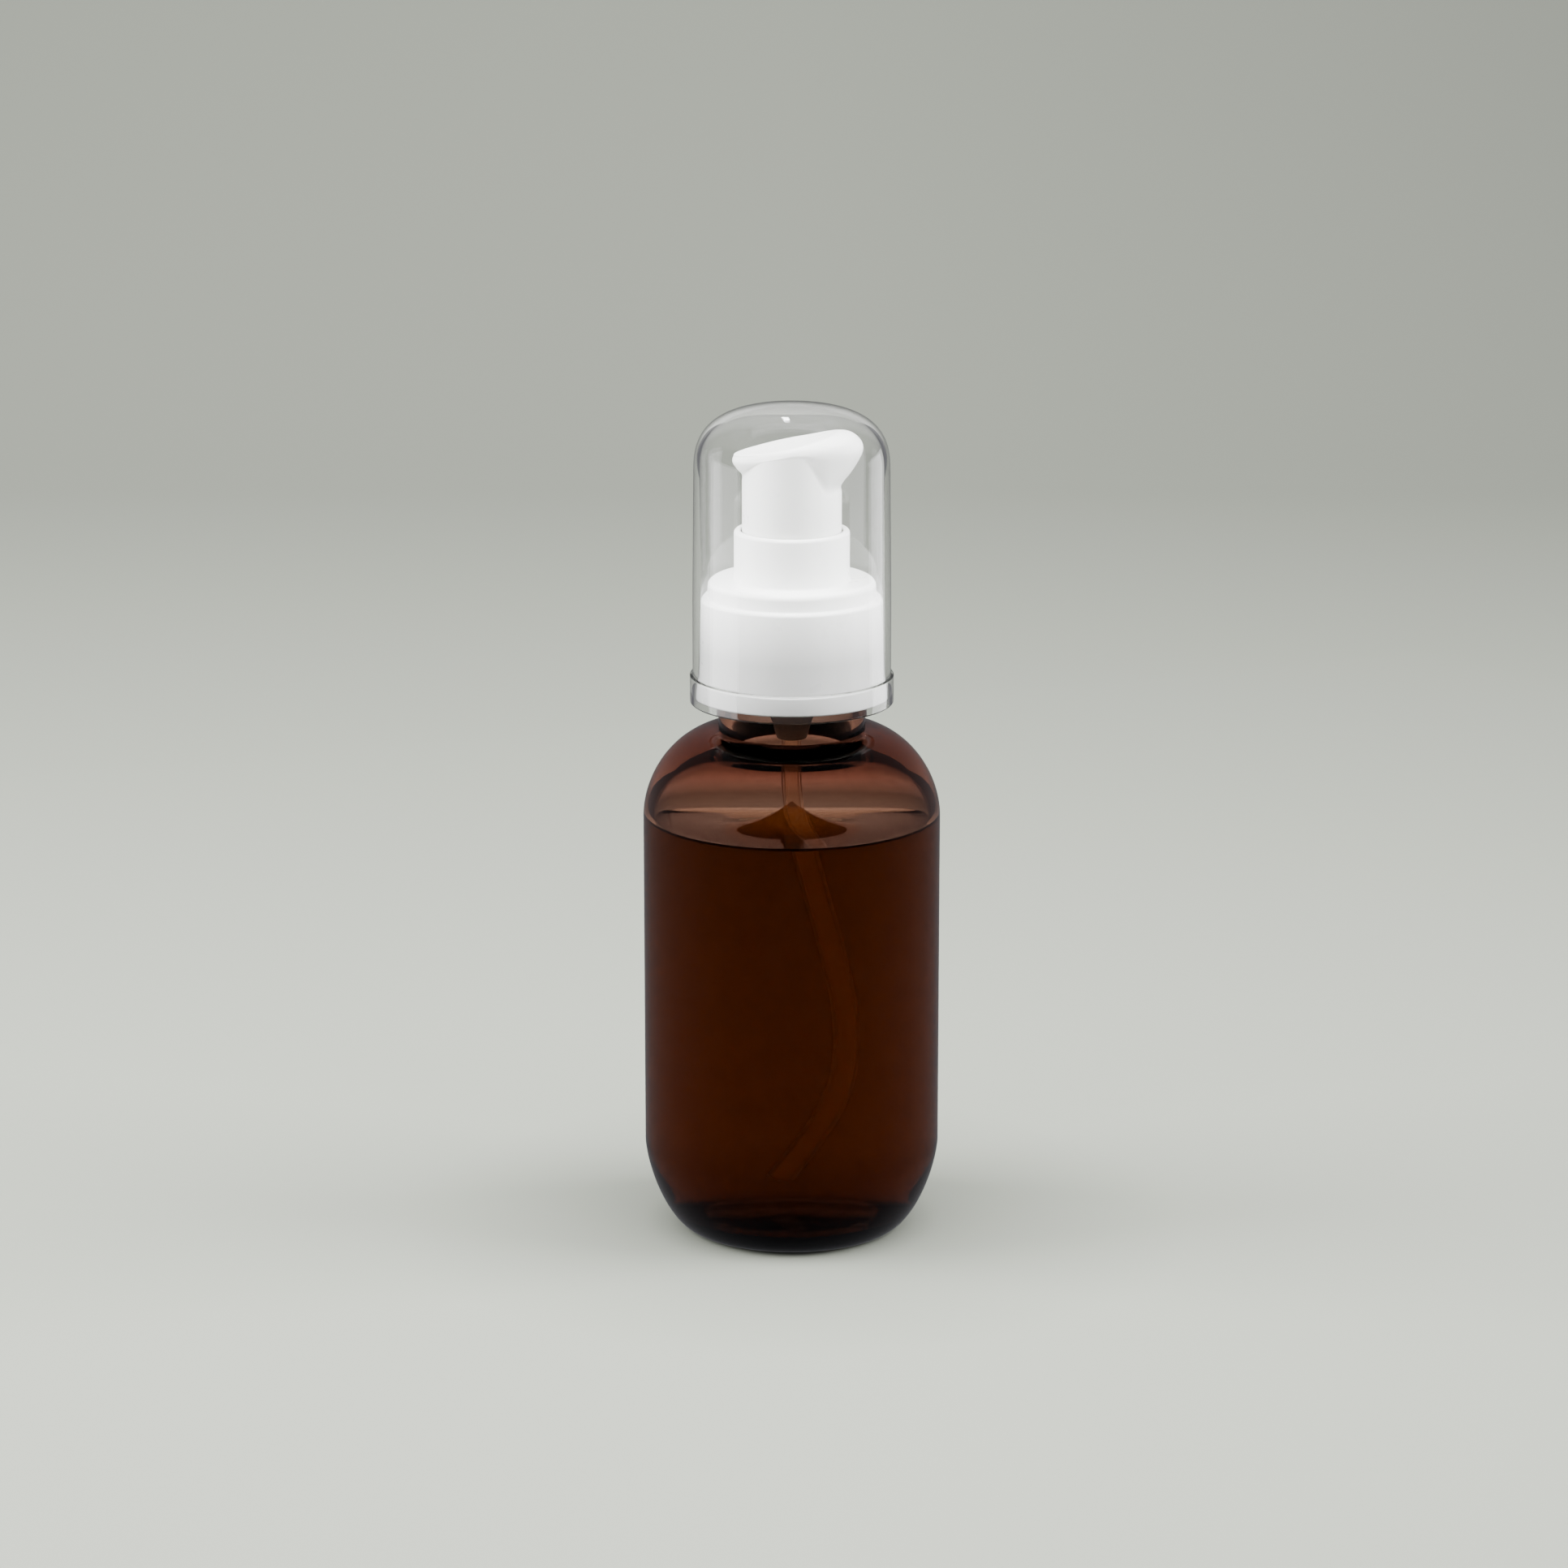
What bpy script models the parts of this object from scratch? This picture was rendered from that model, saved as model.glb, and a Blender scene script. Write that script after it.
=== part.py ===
"""Lotion pump bottle: amber bottle, screw-on pump with a spout, clear overcap.

Origin at the centre of the bottle's base, +Z up, the spout points along +X.
Outlines are (radius, height) pairs in millimetres; meshes are made in metres.
"""

import math

import bmesh
import bpy
from mathutils import Matrix, Vector

MM = 0.001

# Bottle
BODY_R = 22.0
HEEL_R = 15.84
HEEL_TOP = 13.03
HEEL_POWER = 1.515
SHOULDER_BOTTOM = 63.16
NECK_ROOT_TOP = 76.29
SHOULDER_POWER = 1.861
NECK_R = 10.85
NECK_BORE_R = 8.9
RIM_TOP = 93.3
WALL = 1.8
SHOULDER_WALL = 3.0
BASE_THICKNESS = 3.2
PUSH_UP = 1.4
REST_RING_R = 11.2

# Screw thread, right-handed
PITCH = 3.175
THREAD_BOTTOM = 86.2
THREAD_TURNS = 1.5
COLLAR_THREAD_DROP = 1.74
COLLAR_THREAD_START = 0.25

# Pump
SLEEVE_R = 8.5
SLEEVE_BORE_R = 7.65
SLEEVE_TOP = 106.3
DISC_TOP = 98.9
COLUMN_R = 7.3
SKIRT_BOTTOM = 104.1
HEAD_FRONT = 10.33
HEAD_BACK = 8.65
HEAD_SIDE = 7.38
HEAD_TOP = 119.5
HEAD_SLOPE = 0.22
DUCT_R = 0.8
DUCT_TILT = 78
DUCT_MIDDLE = (6.0, 0, 116.6)
BORE_R = 4.0
STEM_R = 2.75
BALL_R = 1.5
BALL_CENTRE = 79.35
SPRING_R = 4.4
WIRE_R = 0.3
SPRING_BOTTOM = 98.3
SPRING_TOP = 107.7
SPRING_TURNS = 5
TUBE_R = 1.45
TUBE_BORE_R = 0.95

# Overcap
CAP_BOTTOM = 80.4
CAP_BAND_R = 15.03
CAP_R = 14.62
CAP_TOP_R = 14.39
DOME_BOTTOM = 114.64
CAP_TOP = 124.5
DOME_POWER = 2.8
CAP_WALL = 0.9

ROUND_STEPS = 40
SMALL_STEPS = 24


def clear_objects():
    for item in list(bpy.data.objects):
        bpy.data.objects.remove(item, do_unlink=True)


def plastic(name, colour, roughness, metallic=0.0, alpha=1.0):
    """A Principled material in the sub-part's own colour."""
    material = bpy.data.materials.new(name)
    material.use_nodes = True
    shader = material.node_tree.nodes["Principled BSDF"]
    shader.inputs["Base Color"].default_value = (*colour, 1.0)
    shader.inputs["Roughness"].default_value = roughness
    shader.inputs["Metallic"].default_value = metallic
    shader.inputs["Alpha"].default_value = alpha
    return material


def place(name, bm, material, origin=(0.0, 0.0, 0.0)):
    """Turn a bmesh in millimetres into an object whose origin is at the given point."""
    bmesh.ops.remove_doubles(bm, verts=bm.verts, dist=1e-4)
    bmesh.ops.recalc_face_normals(bm, faces=bm.faces)
    bmesh.ops.transform(bm, matrix=Matrix.Translation(-Vector(origin)), verts=bm.verts)
    bmesh.ops.scale(bm, vec=(MM, MM, MM), verts=bm.verts)
    mesh = bpy.data.meshes.new(name)
    bm.to_mesh(mesh)
    bm.free()
    mesh.materials.append(material)
    mesh.shade_smooth()
    mesh.set_sharp_from_angle(angle=math.radians(35))
    item = bpy.data.objects.new(name, mesh)
    item.location = Vector(origin) * MM
    bpy.context.collection.objects.link(item)
    return item


def turned(outline, steps, closed=True):
    """Spin an outline once around Z. An open outline starts and ends on the axis."""
    bm = bmesh.new()
    verts = [bm.verts.new((radius, 0.0, height)) for radius, height in outline]
    pairs = list(zip(verts, verts[1:]))
    if closed:
        pairs.append((verts[-1], verts[0]))
    edges = [bm.edges.new(pair) for pair in pairs]
    bmesh.ops.spin(bm, geom=verts + edges, cent=(0, 0, 0), axis=(0, 0, 1),
                   angle=math.tau, steps=steps, use_merge=True)
    bmesh.ops.remove_doubles(bm, verts=bm.verts, dist=1e-4)
    bmesh.ops.dissolve_degenerate(bm, edges=bm.edges, dist=1e-5)
    return bm


def swept(rings, loop=False):
    """Skin equal rings of points; the ends are capped unless the rings close on themselves."""
    bm = bmesh.new()
    rows = [[bm.verts.new(point) for point in ring] for ring in rings]
    count = len(rows[0])
    pairs = list(zip(rows, rows[1:]))
    if loop:
        pairs.append((rows[-1], rows[0]))
    for low, high in pairs:
        for i in range(count):
            j = (i + 1) % count
            bm.faces.new((low[i], low[j], high[j], high[i]))
    if not loop:
        bm.faces.new(rows[0])
        bm.faces.new(rows[-1])
    return bm


def modifier(target, cutter, operation):
    """Join a hidden helper to a part, or cut it away."""
    cutter.hide_render = True
    cutter.display_type = "WIRE"
    boolean = target.modifiers.new(cutter.name, "BOOLEAN")
    boolean.object = cutter
    boolean.operation = operation
    boolean.solver = "EXACT"


def quarter(inner_r, outer_r, base, height, power, steps, from_side=True):
    """Superellipse quarter from (outer_r, base) to (inner_r, base + height)."""
    points = []
    for i in range(steps + 1):
        t = math.pi / 2 * i / steps
        radius = inner_r + (outer_r - inner_r) * math.cos(t) ** (2 / power)
        points.append((radius, base + height * math.sin(t) ** (2 / power)))
    return points if from_side else points[::-1]


def helix_ridge(bottom, start_turn, end_turn, section):
    """A ridge whose section, (radius, offset up) pairs, climbs a right-handed helix."""
    count = round((end_turn - start_turn) * ROUND_STEPS * 0.6)
    rings = []
    for i in range(count + 1):
        turn = start_turn + (end_turn - start_turn) * i / count
        angle = math.tau * turn
        rings.append([(radius * math.cos(angle), radius * math.sin(angle),
                       bottom + PITCH * turn + up) for radius, up in section])
    return swept(rings)


def bottle_outline():
    """Outer side from the base's centre up to the rim, then the inner side back down."""
    push_up = [(REST_RING_R * i / 3, PUSH_UP * math.cos(math.pi / 2 * i / 3)) for i in range(4)]
    heel = [(HEEL_R + (BODY_R - HEEL_R) * math.sin(t) ** (2 / HEEL_POWER),
             HEEL_TOP - HEEL_TOP * math.cos(t) ** (2 / HEEL_POWER))
            for t in (math.pi / 2 * i / 7 for i in range(8))]
    shoulder = quarter(NECK_R, BODY_R, SHOULDER_BOTTOM, NECK_ROOT_TOP - SHOULDER_BOTTOM,
                       SHOULDER_POWER, 8)
    outer = push_up + heel + shoulder + [(NECK_R, RIM_TOP - 0.3), (NECK_R - 0.3, RIM_TOP)]
    inner_shoulder = quarter(NECK_BORE_R, BODY_R - WALL, SHOULDER_BOTTOM,
                             NECK_ROOT_TOP - SHOULDER_WALL - SHOULDER_BOTTOM, SHOULDER_POWER, 7, False)
    inner_heel = [(HEEL_R - 1 + (BODY_R - WALL - HEEL_R + 1) * math.sin(t) ** (2 / HEEL_POWER),
                   HEEL_TOP - (HEEL_TOP - BASE_THICKNESS) * math.cos(t) ** (2 / HEEL_POWER))
                  for t in (math.pi / 2 * i / 6 for i in range(6, -1, -1))]
    floor = [(REST_RING_R * i / 3, BASE_THICKNESS + PUSH_UP * math.cos(math.pi / 2 * i / 3))
             for i in range(3, -1, -1)]
    return outer + [(NECK_BORE_R, RIM_TOP)] + inner_shoulder + inner_heel + floor


def make_bottle():
    amber = plastic("amber_plastic", (0.09, 0.03, 0.01), 0.08, alpha=0.75)
    bottle = place("bottle", turned(bottle_outline(), ROUND_STEPS, closed=False), amber)
    section = [(NECK_R - 0.3, -1.0), (11.9, -0.45), (11.9, 0.45), (NECK_R - 0.3, 1.0)]
    thread = place("bottle_thread_helper",
                   helix_ridge(THREAD_BOTTOM, 0, THREAD_TURNS, section), amber)
    modifier(bottle, thread, "UNION")


def make_closure():
    white = plastic("white_closure", (0.85, 0.86, 0.84), 0.3)
    outline = [
        (SLEEVE_R, SLEEVE_TOP - 0.5), (8.33, SLEEVE_TOP - 0.13), (7.95, SLEEVE_TOP),
        (SLEEVE_BORE_R, SLEEVE_TOP - 0.3),
        (SLEEVE_BORE_R, 97.1), (5.65, 97.1), (5.65, 96.2), (11.25, 96.2), (12.45, 95.0),
        (12.45, 82.0), (12.8, 81.3), (13.6, 81.3), (13.85, 81.55), (13.85, 83.75),
        (13.6, 84.0), (13.5, 84.0), (13.4, 95.6), (13.2, 96.2), (12.9, 96.4), (12.38, 96.4),
        (12.38, DISC_TOP - 0.8), (12.1, DISC_TOP - 0.25), (11.6, DISC_TOP), (SLEEVE_R, DISC_TOP),
    ]
    closure = place("closure", turned(outline, ROUND_STEPS), white)
    section = [(12.6, -0.75), (12.6, 0.75), (11.2, 0.3), (11.2, -0.3)]
    thread = place("closure_thread_helper",
                   helix_ridge(THREAD_BOTTOM - COLLAR_THREAD_DROP, COLLAR_THREAD_START,
                               THREAD_TURNS, section), white)
    modifier(closure, thread, "UNION")


def smooth_step(low, high, value):
    share = min(1.0, max(0.0, (value - low) / (high - low)))
    return share * share * (3 - 2 * share)


def head_level(angle):
    """Points up one side of the head at a plan angle: crease, lip, top edge, mid top."""
    cosine, sine = math.cos(angle), math.sin(angle)
    degrees = abs(math.degrees(math.atan2(sine, cosine)))
    front, back = max(0.0, cosine), max(0.0, -cosine)
    reach = HEAD_SIDE + (HEAD_FRONT - HEAD_SIDE) * smooth_step(0, 80, 80 - degrees)
    reach += (HEAD_BACK - HEAD_SIDE) * smooth_step(125, 180, degrees)
    crease = 113.1 + 4.7 * smooth_step(44, 80, degrees) - 3.2 * smooth_step(110, 170, degrees)
    lip = Vector((reach * cosine, reach * sine, 0.0))
    lip.z = HEAD_TOP + HEAD_SLOPE * lip.x - 0.9 - 2.5 * front ** 1.5 - 0.2 * back
    edge = lip * (0.86 - 0.18 * front + 0.06 * back)
    edge.z = HEAD_TOP + HEAD_SLOPE * edge.x
    middle = edge * 0.5
    middle.z = HEAD_TOP - 0.1 + HEAD_SLOPE * middle.x
    root = Vector((COLUMN_R * cosine, COLUMN_R * sine, crease))
    under = root.lerp(lip, 0.45) + (lip - root) * Vector((0.11, 0.11, 0.0))
    return [root, under, lip, lip.lerp(edge, 0.5) + Vector((0.2 * cosine, 0.2 * sine, 0.2)),
            edge, middle]


def make_actuator():
    white = plastic("white_actuator", (0.88, 0.88, 0.86), 0.28)
    angles = [math.tau * i / 32 for i in range(32)]
    columns = [head_level(angle) for angle in angles]
    skirt = [(COLUMN_R * math.cos(a), COLUMN_R * math.sin(a), SKIRT_BOTTOM) for a in angles]
    rings = [skirt] + [[column[i] for column in columns] for i in range(len(columns[0]))]
    actuator = place("actuator", swept(rings), white)
    hollow = [(6.4, 103.0), (6.4, 112.2), (6.0, 112.6), (3.9, 112.6), (3.9, 109.3),
              (2.7, 109.3), (2.7, 112.4), (1.2, 112.4), (1.2, 116.2), (0, 116.2)]
    core = place("actuator_core_helper",
                 turned([(0, 103.0)] + hollow, SMALL_STEPS, closed=False), white)
    modifier(actuator, core, "DIFFERENCE")
    duct = bmesh.new()
    bmesh.ops.create_cone(duct, cap_ends=True, segments=12, radius1=DUCT_R, radius2=DUCT_R,
                          depth=12.0)
    tilt = Matrix.Rotation(math.radians(DUCT_TILT), 4, "Y")
    bmesh.ops.transform(duct, matrix=Matrix.Translation(DUCT_MIDDLE) @ tilt, verts=duct.verts)
    modifier(actuator, place("actuator_duct_helper", duct, white), "DIFFERENCE")


def make_overcap():
    clear = plastic("clear_cap", (0.9, 0.9, 0.93), 0.05, alpha=0.25)
    dome_height = CAP_TOP - DOME_BOTTOM
    outer = [(CAP_BAND_R - 0.15, CAP_BOTTOM), (CAP_BAND_R, CAP_BOTTOM + 0.2), (CAP_BAND_R, 84.4),
             (CAP_R, 84.6), (CAP_R - 0.02, 95.5)]
    outer += quarter(0, CAP_TOP_R, DOME_BOTTOM, dome_height, DOME_POWER, 9)
    inner = quarter(0, CAP_TOP_R - CAP_WALL, DOME_BOTTOM, dome_height - 1.0, DOME_POWER, 8, False)
    inner += [(13.72, 84.3), (14.15, 84.3), (14.15, CAP_BOTTOM)]
    bm = turned(outer + inner + [outer[0]], ROUND_STEPS, closed=False)
    place("overcap", bm, clear)


def make_housing():
    white = plastic("natural_housing", (0.75, 0.75, 0.72), 0.4)
    outline = [
        (5.6, 95.9), (5.6, 92.6), (BORE_R, 92.6), (BORE_R, 82.3), (1.95, 81.4), (1.95, 79.3),
        (1.1, 78.2), (1.1, 77.9), (1.75, 77.9), (1.75, 75.0), (2.1, 75.0), (2.7, 76.7),
        (2.7, 78.6), (3.4, 79.9), (5.0, 81.9), (5.0, 91.6), (6.7, 92.4), (6.7, 94.9),
        (11.0, 94.9), (11.0, 95.9),
    ]
    housing = place("housing", turned(outline, SMALL_STEPS), white)
    nibs = bmesh.new()
    for i in range(3):
        turn = Matrix.Rotation(math.tau * i / 3, 4, "Z")
        shape = turn @ Matrix.Translation((1.85, 0, 81.2)) @ Matrix.Diagonal((1.0, 0.6, 0.45, 1))
        bmesh.ops.create_cube(nibs, size=1.0, matrix=shape)
    modifier(housing, place("housing_nibs_helper", nibs, white), "UNION")
    vent = bmesh.new()
    shape = Matrix.Translation((-4.5, 0, 90.9)) @ Matrix.Rotation(math.pi / 2, 4, "Y")
    bmesh.ops.create_cone(vent, cap_ends=True, segments=10, radius1=0.4, radius2=0.4,
                          depth=3.0, matrix=shape)
    modifier(housing, place("housing_vent_helper", vent, white), "DIFFERENCE")


def make_chaplet():
    white = plastic("white_chaplet", (0.85, 0.86, 0.84), 0.35)
    outline = [(2.95, 98.0), (2.95, 95.2), (4.5, 94.4), (4.5, 92.9), (5.3, 92.9), (5.3, 97.4),
               (7.2, 97.4), (7.2, 98.0)]
    place("chaplet", turned(outline, SMALL_STEPS), white)


def make_gasket():
    foam = plastic("gasket_foam", (0.9, 0.9, 0.88), 0.8)
    outline = [(7.4, 94.6), (7.4, 93.6), (11.0, 93.6), (11.0, 94.6)]
    place("gasket", turned(outline, SMALL_STEPS), foam)


def make_stem():
    white = plastic("white_stem", (0.86, 0.86, 0.84), 0.35)
    outline = [(1.3, 112.0), (1.3, 95.6), (2.15, 95.6), (2.15, 92.5), (STEM_R, 92.5),
               (STEM_R, 108.0), (5.6, 108.0), (5.6, 109.0), (2.45, 109.0), (2.45, 112.0)]
    place("stem", turned(outline, SMALL_STEPS), white, origin=(0, 0, 108.0))


def make_shaft():
    natural = plastic("natural_shaft", (0.8, 0.8, 0.76), 0.4)
    outline = [(0, 88.0), (2.2, 88.0), (2.7, 88.4), (2.7, 88.8), (1.9, 89.2), (1.9, 95.3),
               (1.0, 95.3), (1.0, 89.6), (0, 89.6)]
    shaft = place("shaft", turned(outline, 20, closed=False), natural, origin=(0, 0, 88.0))
    port = bmesh.new()
    shape = Matrix.Translation((0, 0, 90.1)) @ Matrix.Rotation(math.pi / 2, 4, "Y")
    bmesh.ops.create_cone(port, cap_ends=True, segments=10, radius1=0.4, radius2=0.4,
                          depth=6.0, matrix=shape)
    modifier(shaft, place("shaft_port_helper", port, natural), "DIFFERENCE")


def make_piston():
    soft = plastic("piston_plastic", (0.82, 0.84, 0.86), 0.45)
    outline = [(2.05, 91.6), (2.05, 89.5), (2.7, 89.5), (2.7, 90.2), (3.3, 90.2), (3.5, 88.9),
               (3.9, 88.9), (3.75, 90.2), (3.75, 90.9), (3.9, 92.2), (3.5, 92.2), (3.3, 90.9),
               (2.7, 90.9), (2.7, 91.6)]
    place("piston", turned(outline, SMALL_STEPS), soft, origin=(0, 0, 89.5))


def make_spring():
    steel = plastic("spring_steel", (0.6, 0.6, 0.62), 0.25, metallic=1.0)
    low, high = SPRING_BOTTOM + WIRE_R, SPRING_TOP - WIRE_R
    rings = []
    count = SPRING_TURNS * 14
    for i in range(count + 1):
        share = i / count
        angle = math.tau * SPRING_TURNS * share
        height = low + (high - low) * share
        out = Vector((math.cos(angle), math.sin(angle), 0))
        centre = out * SPRING_R + Vector((0, 0, height))
        ring = [centre + WIRE_R * (out * math.cos(t) + Vector((0, 0, math.sin(t))))
                for t in (math.tau * k / 6 for k in range(6))]
        rings.append(ring)
    place("spring", swept(rings), steel, origin=(0, 0, SPRING_BOTTOM))


def make_ball():
    glass = plastic("ball_glass", (0.8, 0.85, 0.85), 0.1)
    bm = bmesh.new()
    bmesh.ops.create_icosphere(bm, subdivisions=2, radius=BALL_R,
                               matrix=Matrix.Translation((0, 0, BALL_CENTRE)))
    place("check_ball", bm, glass, origin=(0, 0, BALL_CENTRE))


def smooth_route(points, steps):
    """Catmull-Rom curve through the route's points."""
    route = [Vector(point) for point in points]
    padded = [route[0] * 2 - route[1]] + route + [route[-1] * 2 - route[-2]]
    samples = []
    for before, start, end, after in zip(padded, padded[1:], padded[2:], padded[3:]):
        for i in range(steps):
            t = i / steps
            samples.append(0.5 * (2 * start + (end - before) * t
                                  + (2 * before - 5 * start + 4 * end - after) * t * t
                                  + (3 * start - before - 3 * end + after) * t ** 3))
    return samples + [route[-1]]


def make_dip_tube():
    natural = plastic("tube_plastic", (0.8, 0.8, 0.76), 0.35, alpha=0.9)
    route = [(0, 0, 77.6), (0, 0, 70), (0.9, 0.1, 62), (2.6, 0.4, 53), (4.4, 0.9, 43.5),
             (5.7, 1.6, 34), (5.6, 2.4, 25), (4.0, 3.0, 18.5), (1.6, 3.5, 13), (-1.2, 4.0, 7.5)]
    centres = smooth_route(route, 2)
    rings = []
    for i, centre in enumerate(centres):
        ahead = centres[min(i + 1, len(centres) - 1)] - centres[max(i - 1, 0)]
        side = ahead.cross(Vector((0, 1, 0))).normalized()
        other = side.cross(ahead).normalized()
        turns = [math.tau * k / 10 for k in range(10)]
        rings.append([(centre, side * math.cos(t) + other * math.sin(t)) for t in turns])
    outside = [[c + TUBE_R * d for c, d in ring] for ring in rings]
    inside = [[c + TUBE_BORE_R * d for c, d in ring] for ring in reversed(rings)]
    place("dip_tube", swept(outside + inside, loop=True), natural)


clear_objects()
make_bottle()
make_closure()
make_actuator()
make_overcap()
make_housing()
make_chaplet()
make_gasket()
make_stem()
make_shaft()
make_piston()
make_spring()
make_ball()
make_dip_tube()
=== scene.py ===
import math

import bmesh
import bpy
from mathutils import Matrix, Vector


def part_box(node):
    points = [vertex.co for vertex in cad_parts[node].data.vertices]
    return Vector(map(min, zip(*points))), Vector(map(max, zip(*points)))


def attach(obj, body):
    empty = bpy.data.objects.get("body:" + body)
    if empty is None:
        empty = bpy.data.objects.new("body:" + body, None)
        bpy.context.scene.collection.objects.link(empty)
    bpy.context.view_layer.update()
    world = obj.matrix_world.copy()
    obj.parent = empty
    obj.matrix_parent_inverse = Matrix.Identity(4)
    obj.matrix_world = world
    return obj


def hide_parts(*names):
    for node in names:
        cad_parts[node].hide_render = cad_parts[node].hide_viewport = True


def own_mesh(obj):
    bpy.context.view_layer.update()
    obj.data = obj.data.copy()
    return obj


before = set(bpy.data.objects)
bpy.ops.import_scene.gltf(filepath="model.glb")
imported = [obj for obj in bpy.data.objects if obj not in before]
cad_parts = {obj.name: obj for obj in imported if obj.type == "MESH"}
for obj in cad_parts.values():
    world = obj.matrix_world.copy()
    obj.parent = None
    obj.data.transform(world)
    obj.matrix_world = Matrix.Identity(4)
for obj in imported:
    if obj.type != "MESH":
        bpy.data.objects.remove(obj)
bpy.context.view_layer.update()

MM = 0.001
TURN_STEPS = 128
SMALL_STEPS = 72

# The bottle and its thread, in millimetres, as the CAD has them
BODY_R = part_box("bottle")[1].x / MM
RIM_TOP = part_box("bottle")[1].z / MM
HEEL_R, HEEL_TOP, HEEL_POWER = 15.84, 13.03, 1.515
SHOULDER_BOTTOM, SHOULDER_TOP, SHOULDER_POWER = 63.16, 76.29, 1.861
NECK_R, NECK_BORE_R = 10.85, 8.9
WALL, SHOULDER_WALL, BASE_THICKNESS = 1.8, 3.0, 3.2
PUSH_UP, REST_RING_R = 1.4, 11.2
PITCH, THREAD_BOTTOM, THREAD_TURNS = 3.175, 86.2, 1.5
COLLAR_THREAD_DROP, COLLAR_THREAD_START = 1.74, 0.25

# The liquid: its level, how far it goes into the wall, and how it climbs around the tube
FILL_LEVEL, LIQUID_DIP, WETTING = 63.0, 0.4, 0.05
CLIMB_R, CLIMB_HEIGHT, CLIMB_POWER = 14.0, 4.8, 3

# The pump, in millimetres
COLUMN_R, SKIRT_BOTTOM = 7.3, 104.1
SLEEVE_R, SLEEVE_BORE_R, SLEEVE_TOP = 8.5, 7.65, 106.3
DISC_R, DISC_TOP = 12.38, 98.9
HEAD_FRONT, HEAD_BACK, HEAD_SIDE = 10.33, 8.65, 7.3
HEAD_TOP, HEAD_SLOPE = 119.5, 0.22
DUCT_R, DUCT_LENGTH, DUCT_MIDDLE, DUCT_TILT = 0.8, 12.0, (6.0, 0, 116.6), 78
SPRING_R, WIRE_R, SPRING_BOTTOM, SPRING_TOP, SPRING_TURNS = 4.4, 0.3, 98.3, 107.7, 6.5
BALL_R, BALL_CENTRE = 1.49, 79.35
TUBE_R, TUBE_BORE_R = 1.45, 0.95

# The overcap, in millimetres
CAP_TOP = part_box("overcap")[1].z / MM
CAP_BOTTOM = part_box("overcap")[0].z / MM
CAP_BAND_R, CAP_R, CAP_TOP_R = 15.03, 14.62, 14.39
DOME_BOTTOM, DOME_POWER, CAP_WALL = 114.64, 2.8, 0.9

# The stage's paper, low down and high up. Painted light: the wall is painted lighter than the
# floor, standing in for how the lamps light each.
PAPER = (0.160, 0.170, 0.145)
PAPER_HIGH = (0.62, 0.635, 0.585)


# ---------------------------------------------------------------- mesh helpers

def finish_mesh(name, bm, body, material, node=None, sharp=38):
    """Millimetre bmesh to a piece in metres, riding on its body, in place of its CAD node."""
    bmesh.ops.remove_doubles(bm, verts=bm.verts, dist=1e-4)
    bmesh.ops.recalc_face_normals(bm, faces=bm.faces)
    bmesh.ops.scale(bm, vec=(MM, MM, MM), verts=bm.verts)
    mesh = bpy.data.meshes.new(name)
    bm.to_mesh(mesh)
    bm.free()
    mesh.materials.append(material)
    mesh.shade_smooth()
    mesh.set_sharp_from_angle(angle=math.radians(sharp))
    piece = bpy.data.objects.new(name, mesh)
    bpy.context.scene.collection.objects.link(piece)
    if body:
        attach(piece, body)
    if node:
        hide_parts(node)
    return piece


def rounded(points, closed=True, steps=5):
    """Outline with a true arc at each corner that gives a radius as its third number."""
    result = []
    count = len(points)
    for i, point in enumerate(points):
        corner = Vector(point[:2])
        radius = point[2] if len(point) > 2 else 0
        inside = closed or 0 < i < count - 1
        if not radius or not inside:
            result.append(tuple(corner))
            continue
        back = Vector(points[i - 1][:2]) - corner
        ahead = Vector(points[(i + 1) % count][:2]) - corner
        half = back.angle(ahead) / 2
        reach = min(radius / math.tan(half), back.length * 0.49, ahead.length * 0.49)
        start = corner + back.normalized() * reach
        end = corner + ahead.normalized() * reach
        weight = math.sin(half)
        for k in range(steps + 1):
            t = k / steps
            a, b, c = (1 - t) ** 2, 2 * t * (1 - t) * weight, t * t
            spot = (start * a + corner * b + end * c) / (a + b + c)
            result.append(tuple(spot))
    return result


def turned(outline, steps=TURN_STEPS, closed=True):
    """Bmesh of an outline of (radius, height) turned once around Z."""
    bm = bmesh.new()
    rows = []
    for radius, height in outline:
        if radius < 1e-6:
            rows.append([bm.verts.new((0, 0, height))])
            continue
        rows.append([bm.verts.new((radius * math.cos(a), radius * math.sin(a), height))
                     for a in (math.tau * i / steps for i in range(steps))])
    pairs = list(zip(rows, rows[1:]))
    if closed:
        pairs.append((rows[-1], rows[0]))
    for low, high in pairs:
        for i in range(steps):
            j = (i + 1) % steps
            if len(low) == 1 and len(high) == 1:
                break
            if len(low) == 1:
                bm.faces.new((low[0], high[j], high[i]))
            elif len(high) == 1:
                bm.faces.new((low[i], low[j], high[0]))
            else:
                bm.faces.new((low[i], low[j], high[j], high[i]))
    return bm


def swept(rings, loop=False):
    """Bmesh skin over equal rings of points, capped unless the rings close on themselves."""
    bm = bmesh.new()
    rows = [[bm.verts.new(point) for point in ring] for ring in rings]
    count = len(rows[0])
    pairs = list(zip(rows, rows[1:]))
    if loop:
        pairs.append((rows[-1], rows[0]))
    for low, high in pairs:
        for i in range(count):
            j = (i + 1) % count
            bm.faces.new((low[i], low[j], high[j], high[i]))
    if not loop:
        bm.faces.new(rows[0])
        bm.faces.new(rows[-1])
    return bm


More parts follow.
